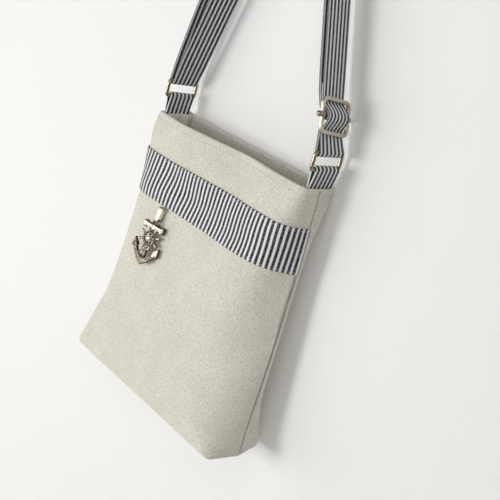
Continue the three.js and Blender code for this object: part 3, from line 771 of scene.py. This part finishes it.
def striped_cotton(tree, colours, pitch, shaded_edge=None):
    """Woven navy and white cotton: even stripes with slightly uneven thread edges, and a dry weave.

    Beyond a given distance from the strip's middle, its edge faces are painted mostly navy: painted shade
    for the shadowed sides of the doubled layers.
    """
    place = object_place(tree)
    across = add_node(tree, "ShaderNodeAttribute", attribute_name="across").outputs["Fac"]
    threads = noise_share(tree, place, 1100, 2)
    drift = noise_share(tree, place, 140, 1)
    counted = maths(tree, "MULTIPLY_ADD", across, 1 / pitch, 0.42)
    frayed = maths(tree, "MULTIPLY_ADD", threads, 0.1, counted)
    drifted = maths(tree, "MULTIPLY_ADD", drift, 0.06, frayed)
    white = ranged(tree, maths(tree, "PINGPONG", drifted, 0.5), 0.24, 0.31)
    # Painted shade: the strip's edge faces turn mostly navy
    if shaded_edge:
        outward = maths(tree, "ABSOLUTE", across)
        white = ranged(tree, outward, shaded_edge, shaded_edge + 0.1 * MM, white, 0.12)
    worn = ranged(tree, threads, 0.45, 0.75, most=0.2)
    navy = mixed(tree, worn, colours.navy, colours.white)
    return principled(tree, {
        "Base Color": mixed(tree, white, navy, colours.white), "Roughness": 0.88, "Sheen Weight": 0.1,
        "Specular IOR Level": 0.2, "Normal": relief(tree, threads, 0.4, 0.3 * MM)})


def nickel_plate(tree, tint, rough_least, rough_most):
    """Nickel plate: warm pale reflections, softened here and there by handling."""
    handled = noise_share(tree, object_place(tree), 260, 3)
    rough = ranged(tree, handled, 0.3, 0.7, rough_least, rough_most)
    return principled(tree, {"Base Color": tint, "Metallic": 1.0, "Roughness": rough})


def polished_nickel(tree, colours):
    """Nickel plate of the rings and the slider's bar, smoother than the bail's, in a darker copy of its
    colour: painted shade for the dark surroundings they reflect.
    """
    return nickel_plate(tree, colours.wire, 0.18, 0.3)


def satin_nickel(tree, colours):
    """Brushed nickel plate of the bail and the slider's frame, evenly pale."""
    return nickel_plate(tree, colours.nickel, 0.44, 0.52)


def antiqued_silver(tree, colours):
    """Cast silver-plated metal: dark patina in the recesses, worn bright on the high places and front
    faces, with a painted highlight on the hub and a painted reflection lightening the arms towards the
    right.
    """
    place = add_node(tree, "ShaderNodeTexCoord")
    grain = noise_share(tree, place.outputs["Object"], 900, 3)
    open_share = add_node(tree, "ShaderNodeAmbientOcclusion", {"Distance": 2.5 * MM}, samples=8)
    front = anchor_matrix().to_3x3() @ Vector((0, -1, 0))
    facing = add_node(tree, "ShaderNodeVectorMath", {
        0: place.outputs["Normal"], 1: front}, operation="DOT_PRODUCT")
    outward = maths(tree, "MULTIPLY_ADD", facing.outputs["Value"], 0.7, open_share.outputs["AO"])
    # Vertex brightness: wear, plus a painted highlight on the hub and a painted reflection towards the
    # arms' right
    polish_and_highlight = add_node(tree, "ShaderNodeAttribute", attribute_name="polish_and_highlight")
    handled = maths(tree, "ADD", polish_and_highlight.outputs["Fac"], outward)
    worn_and_highlit = ranged(tree, maths(tree, "MULTIPLY_ADD", grain, 1.6, handled), 2.2, 3.0)
    return principled(tree, {
        "Base Color": mixed(tree, worn_and_highlit, colours.patina, colours.silver), "Metallic": 1.0,
        "Roughness": ranged(tree, worn_and_highlit, 0.0, 1.0, 0.6, 0.34),
        "Normal": relief(tree, grain, 0.35, 0.25 * MM)})


def sewing_thread(tree, colours):
    """Spun cotton thread: dull, with a slight fibre grain."""
    fibre = noise_share(tree, object_place(tree), 1800, 2)
    return principled(tree, {
        "Base Color": colours.thread, "Roughness": 0.85, "Normal": relief(tree, fibre, 0.4, 0.2 * MM)})


def wall_paint(tree, colours):
    """Matte white paint, clear from behind so that the back of the bag can be seen."""
    behind = add_node(tree, "ShaderNodeNewGeometry").outputs["Backfacing"]
    paint = add_node(tree, "ShaderNodeBsdfDiffuse", {"Color": colours.wall})
    clear = add_node(tree, "ShaderNodeBsdfTransparent")
    inputs = {0: behind, 1: paint.outputs[0], 2: clear.outputs[0]}
    return add_node(tree, "ShaderNodeMixShader", inputs)


# Hardware and charm shapes


def frame_places(size, half):
    """Places round a wire frame in Y and Z, for a section of the given half-width."""
    places = []
    bends = 8
    wide, tall = (size[key] / 2 - size["corner"] for key in ("width", "height"))
    for quarter, (side, rise) in enumerate(((1, 1), (-1, 1), (-1, -1), (1, -1))):
        corner = Vector((0, side * wide, rise * tall))
        for i in range(bends + 1):
            angle = (quarter + i / bends) * pi / 2
            out = Vector((0, cos(angle), sin(angle)))
            places.append((corner + size["corner"] * out, half * out, Vector((half, 0, 0))))
    return places


def hoop(bm, centre, radius, half_wide, half_thick, section, steps=40):
    """A ring in X and Z with the given section."""
    places = []
    for i in range(steps):
        out = Vector((cos(tau * i / steps), 0, sin(tau * i / steps)))
        places.append((centre + radius * out, half_wide * out, Vector((0, half_thick, 0))))
    sweep(bm, places, section, closed=True)


def spread(points, steps):
    """A smooth curve through a few points."""
    ends = [2 * points[0] - points[1]] + points + [2 * points[-1] - points[-2]]
    curve = []
    for before, here, after, beyond in zip(ends, ends[1:], ends[2:], ends[3:]):
        for i in range(steps):
            t = i / steps
            pull = (after - before) * t + (2 * before - 5 * here + 4 * after - beyond) * t ** 2
            curve.append(here + 0.5 * (pull + (3 * here - before - 3 * after + beyond) * t ** 3))
    return curve + [points[-1]]


def rope(bm, curve, radius, turns, up):
    """Two strands twisted round each other along a curve."""
    last = len(curve) - 1
    for strand in (0, pi):
        places = []
        for i, point in enumerate(curve):
            along = (curve[min(i + 1, last)] - curve[max(i - 1, 0)]).normalized()
            side = along.cross(up).normalized()
            angle = strand + tau * turns * i / last
            away = cos(angle) * side + sin(angle) * up
            places.append((point + 0.48 * radius * away, 0.58 * radius * side, 0.58 * radius * up))
        sweep(bm, places, circle(8))


def charm_front(drop):
    """How far forward the front panel stands behind the charm."""
    return section_at(drop)["front_y"] - bumps(FRONT_FOLDS, CHARM_X, drop)


def charm_matrix():
    """Where the charm is sewn on, leaning with the front panel and a little away from it."""
    crown_drop = CHARM_DROP - EYE_Z - CROWN_Z
    lean = atan2(charm_front(CHARM_DROP) - charm_front(crown_drop), crown_drop - CHARM_DROP)
    place = (
        CHARM_X,
        charm_front(CHARM_DROP) - CHARM_CLEAR * cos(lean),
        RIM_Z - CHARM_DROP + CHARM_CLEAR * sin(lean),
    )
    return Matrix.Translation(place) @ Matrix.Rotation(-lean - BAIL_TILT, 4, "X")


def anchor_matrix():
    """Where the anchor hangs in the bail, with its eye at the origin."""
    turns = ((ANCHOR_PITCH + BAIL_TILT, "X"), (ANCHOR_TILT, "Y"), (ANCHOR_TURN, "Z"))
    matrix = charm_matrix() @ Matrix.Translation((0, 0, EYE_Z))
    for angle, axis in turns:
        matrix = matrix @ Matrix.Rotation(angle, 4, axis)
    return matrix


def millimetres(*pairs):
    return [Vector(pair) * MM for pair in pairs]


def bail_half(up):
    """Half the bail's width at a height."""
    for lower, upper in zip(BAIL_HALVES, BAIL_HALVES[1:]):
        if up <= upper["up"]:
            share = (up - lower["up"]) / (upper["up"] - lower["up"])
            return lower["half"] + (upper["half"] - lower["half"]) * share
    return BAIL_HALVES[-1]["half"]


def bail_places():
    """Places along the bail: over the thread, down its back, through the eye and up its front."""
    middle = (BAIL_INNER + BAIL_OUTER) / 2
    turns = [pi * i / 12 for i in range(13)]
    falls = [BAIL_LENGTH * i / 24 for i in range(1, 24)]
    route = [(0, angle) for angle in turns] + [(-fall, pi) for fall in falls]
    route += [(-BAIL_LENGTH, pi + angle) for angle in turns] + [(-fall, tau) for fall in reversed(falls)]
    places = []
    for foot, angle in route:
        out = Vector((0, cos(angle), sin(angle)))
        point = Vector((0, 0, foot)) + middle * out
        half = Vector((bail_half(point.z), 0, 0))
        places.append((point, half, (BAIL_OUTER - BAIL_INNER) / 2 * out))
    return places


def arm_corners():
    """The two arms and flukes, across and up from the eye."""
    foot, fork = Vector((0, CROWN_Z)), Vector((0, CROWN_Z + 6 * MM))
    outer_bend, outer_end, barb, tip, heel, inner_end, inner_bend = millimetres(
        (6.6, -32), (10.9, -24.2), (12.8, -25.2), (12, -17), (7.1, -22), (8, -22.8), (5.6, -28.6))
    right = bend(foot, outer_bend, outer_end, 10) + [outer_end, barb, tip, heel]
    right += bend(inner_end, inner_bend, fork, 10) + [fork]
    left = [Vector((-point.x, point.y)) for point in reversed(right[1:-1])]
    return right + left


def anchor_mesh(rope_turns):
    """The cast anchor: eye, shank, arms, stock, ship's wheel and rope, with the eye at the origin."""
    bm = bmesh.new()
    polish_and_highlight = bm.verts.layers.float.new("polish_and_highlight")

    def rub_and_highlight(part, reflection_to_right=0.0):
        """Sets the brightness of the vertices that have none yet: wear, with a painted highlight on the hub
        and a painted reflection growing to the right on the arms.
        """
        for vert in bm.verts:
            vert[polish_and_highlight] = vert[polish_and_highlight] or POLISH_AND_HIGHLIGHT[part] + reflection_to_right * vert.co.x

    soft = squared(12, 0.6)
    hoop(bm, Vector(), (EYE_HOLE + EYE_OUTER) / 2, (EYE_OUTER - EYE_HOLE) / 2, EYE_HALF, soft)
    absorb(bm, plate(millimetres(*SHANK), CAST_BACK, SHANK_THICK, CAST_EDGE))
    absorb(bm, plate(arm_corners(), CAST_BACK, ARM_THICK, CAST_EDGE))
    # The arms grow lighter towards the right as a painted reflection
    rub_and_highlight("arms", ARMS_REFLECTION_TO_RIGHT)
    # Stock: a flat-faced bar with engraved cuts and a thicker cap at each end
    half = [(0, STOCK_BAR)]
    for cut in STOCK_CUTS:
        half += [(cut - STOCK_CUT_HALF, STOCK_BAR), (cut, STOCK_CUT), (cut + STOCK_CUT_HALF, STOCK_BAR)]
    half += STOCK_CAP
    stations = [(-across, high) for across, high in reversed(half[1:])] + half
    places = []
    for across, high in stations:
        middle = Vector((across, STOCK_Y, STOCK_Z)) * MM
        places.append((middle, Vector((0, 0, high)) * MM, Vector((0, STOCK_DEPTH * high, 0)) * MM))
    sweep(bm, places, squared(20, 0.4))
    rub_and_highlight("stock")
    # Wheel: a rim with two lips, a stepped hub and turned handles
    hoop(bm, WHEEL_RIM, WHEEL_RADIUS, WHEEL_HALF, WHEEL_HALF, soft)
    for radius in WHEEL_LIPS:
        hoop(bm, LIP_PLACE, radius, LIP_WIDE, LIP_THICK, circle(8))
    rub_and_highlight("rim")
    absorb(bm, lathe(HUB, 24), Matrix.Translation(WHEEL) @ Matrix.Rotation(pi / 2, 4, "X"))
    # The hub's full brightness is a painted highlight
    rub_and_highlight("hub")
    for i in range(WHEEL_HANDLES):
        turn = Matrix.Rotation((i + 0.5) * tau / WHEEL_HANDLES, 4, "Y")
        absorb(bm, lathe(HANDLE, 10), Matrix.Translation(WHEEL) @ turn)
    rub_and_highlight("handles")
    # Rope from the wheel over the shank, round it and along the right arm
    curve = spread([Vector((point.x, ROPE_Y, point.y)) for point in millimetres(*ROPE_WAY)], 12)
    rope(bm, curve, ROPE_RADIUS, rope_turns, Vector((0, -1, 0)))
    rub_and_highlight("rope")
    return bm


# Operators


class BAG_OT_body(bpy.types.Operator):
    """Makes the sewn pouch: both walls, the rolled rim and the boxed base"""

    bl_idname = "bag.body"
    bl_label = "Body"

    def execute(self, context):
        sizes = context.scene.bag_sizes
        inner = steps_between(8 * MM, sizes.height - sizes.wall, INSIDE_PITCH)
        loops = [outline(drop, sizes.wall) for drop in reversed(inner)]
        loops += [outline(row["drop"], row["inset"]) for row in RIM_LIP]
        outer = steps_between(3 * MM, sizes.height - 6 * MM, OUTSIDE_PITCH)
        loops += [outline(drop, 0, 0, sizes.seam_groove) for drop in outer]
        loops += [outline(sizes.height - row["lift"], row["inset"]) for row in BASE_EDGE]
        bm = bmesh.new()
        loft(bm, loops)
        canvas = material(felted_canvas, context.scene.bag_colours)
        finish_piece(bm, "bag_body", canvas, nodes=["body_shell"])
        return {"FINISHED"}


class BAG_OT_facing(bpy.types.Operator):
    """Makes the facing inside the mouth"""

    bl_idname = "bag.facing"
    bl_label = "Facing"

    def execute(self, context):
        sizes = context.scene.bag_sizes
        drops = steps_between(1 * MM, sizes.facing_depth - 1 * MM, FACING_PITCH)
        rows = [(drop, 0) for drop in drops] + [(sizes.facing_depth, FACING_THICK / 2)]
        rows += [(drop, FACING_THICK) for drop in reversed(drops)] + [(0.4 * MM, FACING_THICK / 2)]
        side = sizes.wall + TAB_SLOT + SKIN_GAP
        skin = sizes.wall + SKIN_GAP
        loops = [outline(drop, side + more, skin + more, -0.5 * more) for drop, more in rows]
        for (drop, _), loop in zip(rows, loops):
            for point in loop:
                if point.x < FACING_LEFT:
                    point.x += bumps(FACING_FOLDS, point.y, drop)
        bm = bmesh.new()
        loft(bm, loops, closed=True)
        canvas = material(felted_canvas, context.scene.bag_colours)
        finish_piece(bm, "mouth_facing", canvas, nodes=["top_facing"])
        return {"FINISHED"}


class BAG_OT_band(bpy.types.Operator):
    """Makes the striped band across the front, puckered where it is sewn"""

    bl_idname = "bag.band"
    bl_label = "Band"

    def execute(self, context):
        sizes = context.scene.bag_sizes
        top, bottom = sizes.band_top, sizes.band_bottom
        drops = steps_between(top + 0.5 * MM, bottom - 0.5 * MM, BAND_PITCH)
        rows = [(top, 0.45)] + [(drop, 1.0) for drop in drops] + [(bottom, 0.45)]
        rows += [(bottom - 0.3 * MM, 0.0), ((top + bottom) / 2, 0.0), (top + 0.3 * MM, 0.0)]
        bm = bmesh.new()
        across = bm.verts.layers.float.new("across")
        rings = loft(bm, list(zip(*(band_line(drop, layer) for drop, layer in rows))))
        for row, (drop, _) in enumerate(rows):
            steps = [(after[row].co - here[row].co).length for here, after in zip(rings, rings[1:])]
            place = -sum(steps[:SEAM_INDEX])
            for ring, step in zip(rings, steps + [0.0]):
                ring[row][across] = place + STRIPE_START + bumps(STRIPE_DRIFTS, place, drop)
                place += step
        colours = context.scene.bag_colours
        cotton = material(striped_cotton, colours, sizes.stripe_pitch, name="band_cotton")
        finish_piece(bm, "front_band", cotton, nodes=["striped_band"])
        return {"FINISHED"}


class BAG_OT_strap(bpy.types.Operator):
    """Makes the doubled strap and the two tabs"""

    bl_idname = "bag.strap"
    bl_label = "Strap and tabs"

    def execute(self, context):
        sizes = context.scene.bag_sizes
        colours = context.scene.bag_colours
        cotton = material(striped_cotton, colours, sizes.stripe_pitch, STRAP_SHADED_EDGE, name="strap_cotton")
        bm = bmesh.new()
        webbing(bm, strap_line(), STRAP_WIDTH, twisted=True)
        finish_piece(bm, "doubled_strap", cotton, nodes=["strap"])
        for side, name in ((-1, "tab_left"), (1, "tab_right")):
            bm = bmesh.new()
            webbing(bm, tab_line(side), TAB_WIDTH, TAB_SHIFTS[name])
            finish_piece(bm, "folded_" + name, cotton, nodes=[name])
        return {"FINISHED"}


class BAG_OT_rings(bpy.types.Operator):
    """Makes the two wire rings"""

    bl_idname = "bag.rings"
    bl_label = "Rings"

    def execute(self, context):
        nickel = material(polished_nickel, context.scene.bag_colours)
        for side, name in ((-1, "ring_left"), (1, "ring_right")):
            place = Matrix.Translation((side * RING_X, 0, RIM_Z + RING_LOW + RING["height"] / 2))
            bm = bmesh.new()
            sweep(bm, frame_places(RING, WIRE / 2), circle(16), closed=True)
            finish_piece(bm, "wire_" + name, nickel, nodes=[name], place=place)
        return {"FINISHED"}


class BAG_OT_slider(bpy.types.Operator):
    """Makes the strap's slider: its frame, and its bar with rolled ends"""

    bl_idname = "bag.slider"
    bl_label = "Slider"

    def execute(self, context):
        colours = context.scene.bag_colours
        place = Matrix.Translation((SLIDER_MIDDLE.x, 0, SLIDER_MIDDLE.y))
        for angle, axis in ((-LEG_TILT, "Y"), (-RIGHT_TWIST, "Z"), (SLIDER_LEAN, "X")):
            place = place @ Matrix.Rotation(angle, 4, axis)
        bm = bmesh.new()
        sweep(bm, frame_places(SLIDER, WIRE / 2), squared(20, 0.55), closed=True)
        satin = material(satin_nickel, colours)
        finish_piece(bm, "adjuster_frame", satin, nodes=["slider_frame"], place=place)
        # Bar with an eye rolled round each side of the frame, and a ball at the front
        hole = WIRE / 2 + GAP
        reach = SLIDER["width"] / 2
        bm = bmesh.new()
        ends = [Vector((0, side * (reach - hole - BAR_EYE_WALL / 2), 0)) for side in (-1, 1)]
        round_bar = [(end, Vector((WIRE / 2, 0, 0)), Vector((0, 0, WIRE / 2))) for end in ends]
        sweep(bm, round_bar, circle(16))
        for side in (-1, 1):
            eye = bmesh.new()
            hoop(eye, Vector(), hole + BAR_EYE_WALL / 2, BAR_EYE_WALL / 2, BAR_EYE_HALF, squared(12, 0.6))
            absorb(bm, eye, Matrix.Translation((0, side * reach, 0)) @ Matrix.Rotation(pi / 2, 4, "X"))
        ball = [(BALL_RADIUS * sin(pi * i / 10), -BALL_RADIUS * cos(pi * i / 10)) for i in range(11)]
        absorb(bm, lathe(ball, 20), Matrix.Translation((0, -reach - hole - 2 * BAR_EYE_WALL, 0)))
        polished = material(polished_nickel, colours)
        finish_piece(bm, "adjuster_bar", polished, nodes=["slider_bar"], place=place)
        return {"FINISHED"}


class BAG_OT_charm(bpy.types.Operator):
    """Makes the charm: its thread, its bail and its anchor"""

    bl_idname = "bag.charm"
    bl_label = "Charm"

    def execute(self, context):
        colours = context.scene.bag_colours
        place = charm_matrix()
        # Thread loop: out of the panel, across the bail's fold and back in
        reach = CHARM_CLEAR - GAP
        turn = THREAD_HALF - THREAD_BEND
        corners = [(-THREAD_HALF, reach), (-THREAD_HALF, THREAD_BEND), (-turn, 0), (turn, 0),
                   (THREAD_HALF, THREAD_BEND), (THREAD_HALF, reach)]
        curve = spread([Vector((x, y, 0)) for x, y in corners], 8)
        bm = bmesh.new()
        rope(bm, curve, THREAD_RADIUS, THREAD_TURNS, Vector((0, 0, 1)))
        thread = material(sewing_thread, colours)
        finish_piece(bm, "charm_thread", thread, nodes=["charm_stitch"], place=place)
        # Bail: a folded strip that closes on itself, tapered towards the anchor
        bm = bmesh.new()
        sweep(bm, bail_places(), strip_section(4, 0.05), closed=True)
        satin = material(satin_nickel, colours)
        finish_piece(bm, "charm_bail", satin, "bail", ["bail"], sharp=40, place=place)
        bm = anchor_mesh(context.scene.bag_sizes.rope_turns)
        silver = material(antiqued_silver, colours)
        finish_piece(
            bm, "charm_anchor", silver, "anchor", ["anchor"], sharp=50, place=anchor_matrix())
        return {"FINISHED"}


class BAG_OT_stitching(bpy.types.Operator):
    """Makes the topstitching round the rim and along the band"""

    bl_idname = "bag.stitching"
    bl_label = "Stitching"

    def execute(self, context):
        sizes = context.scene.bag_sizes
        loop = outline(RIM_STITCH_DROP, -0.1 * MM)
        lines = [loop + loop[:2]]
        for drop in (sizes.band_top + BAND_STITCH_INSET, sizes.band_bottom - BAND_STITCH_INSET):
            lines.append(band_line(drop, 1))
        bm = bmesh.new()
        for line in lines:
            stitch_row(bm, facing_out(line), sizes.stitch, STITCH_GAP, STITCH_RADIUS)
        thread = material(sewing_thread, context.scene.bag_colours)
        finish_piece(bm, "topstitching", thread)
        return {"FINISHED"}


class BAG_OT_stage(bpy.types.Operator):
    """Makes the wall, the floor, the soft lights and the camera"""

    bl_idname = "bag.stage"
    bl_label = "Stage"

    def execute(self, context):
        scene = context.scene
        paint = material(wall_paint, scene.bag_colours)
        wall = Matrix.Translation((0, WALL_Y, 0)) @ Matrix.Rotation(pi / 2, 4, "X")
        floor = Matrix.Translation((0, 0, FLOOR_Z))
        for name, place in (("backdrop", wall), ("floor", floor)):
            bm = bmesh.new()
            bmesh.ops.create_grid(bm, x_segments=1, y_segments=1, size=STAGE_REACH, matrix=place)
            mesh = bpy.data.meshes.new(name)
            bm.to_mesh(mesh)
            bm.free()
            mesh.materials.append(paint)
            plane = bpy.data.objects.new(name, mesh)
            # The lamp behind the wall lights the bag's back through it
            plane.visible_shadow = False
            scene.collection.objects.link(plane)
        for name, (place, size, power) in LAMPS.items():
            lamp = bpy.data.lights.new(name, "AREA")
            lamp.shape = "DISK"
            lamp.size = size
            lamp.energy = power
            holder = bpy.data.objects.new(name, lamp)
            holder.location = place
            holder.rotation_euler = (Vector(place) - LAMP_TARGET).to_track_quat("Z", "Y").to_euler()
            scene.collection.objects.link(holder)
        world = bpy.data.worlds.new("room")
        world.use_nodes = True
        world.node_tree.nodes.clear()
        sky = add_node(world.node_tree, "ShaderNodeBackground", {
            "Color": srgb(ROOM_COLOUR), "Strength": ROOM_STRENGTH})
        add_node(world.node_tree, "ShaderNodeOutputWorld", {"Surface": sky.outputs[0]})
        scene.world = world
        scene.view_settings.view_transform = "Standard"
        lens = bpy.data.cameras.new("camera")
        lens.lens = CAMERA_LENS
        camera = bpy.data.objects.new("camera", lens)
        camera.matrix_world = camera_matrix()
        scene.collection.objects.link(camera)
        scene.camera = camera
        return {"FINISHED"}


def camera_matrix():
    """The photo's angle: from the right, above the charm, with the camera rolled."""
    turn, rise, roll = CAMERA_TURN, CAMERA_RISE, CAMERA_ROLL
    back = Vector((sin(turn) * cos(rise), -cos(turn) * cos(rise), sin(rise)))
    right = (-back).cross(Vector((0, 0, 1))).normalized()
    up = right.cross(-back)
    rolled_right = cos(roll) * right + sin(roll) * up
    rolled_up = cos(roll) * up - sin(roll) * right
    facing = Matrix((rolled_right, rolled_up, back)).transposed().to_4x4()
    return Matrix.Translation(CAMERA_PLACE) @ facing


class BAG_PT_panel(bpy.types.Panel):
    """Lists the bag's sizes, colours and pieces"""

    bl_idname = "BAG_PT_panel"
    bl_label = "Crossbody bag"
    bl_space_type = "VIEW_3D"
    bl_region_type = "UI"
    bl_category = "Bag"

    def draw(self, context):
        for group in (context.scene.bag_sizes, context.scene.bag_colours):
            for name in group.bl_rna.properties.keys():
                if name not in ("rna_type", "name"):
                    self.layout.prop(group, name)
        for operator in OPERATORS:
            self.layout.operator(operator.bl_idname)


OPERATORS = (
    BAG_OT_body, BAG_OT_facing, BAG_OT_band, BAG_OT_strap, BAG_OT_rings, BAG_OT_slider, BAG_OT_charm,
    BAG_OT_stitching, BAG_OT_stage,
)
CLASSES = (BagSizes, BagColours, *OPERATORS, BAG_PT_panel)


def register():
    for cls in CLASSES:
        bpy.utils.register_class(cls)
    bpy.types.Scene.bag_sizes = PointerProperty(type=BagSizes)
    bpy.types.Scene.bag_colours = PointerProperty(type=BagColours)


def unregister():
    del bpy.types.Scene.bag_colours
    del bpy.types.Scene.bag_sizes
    for cls in reversed(CLASSES):
        bpy.utils.unregister_class(cls)


def main():
    register()
    bpy.ops.bag.body()
    bpy.ops.bag.facing()
    bpy.ops.bag.band()
    bpy.ops.bag.strap()
    bpy.ops.bag.rings()
    bpy.ops.bag.slider()
    bpy.ops.bag.charm()
    bpy.ops.bag.stitching()
    bpy.ops.bag.stage()


if __name__ == "__main__":
    main()
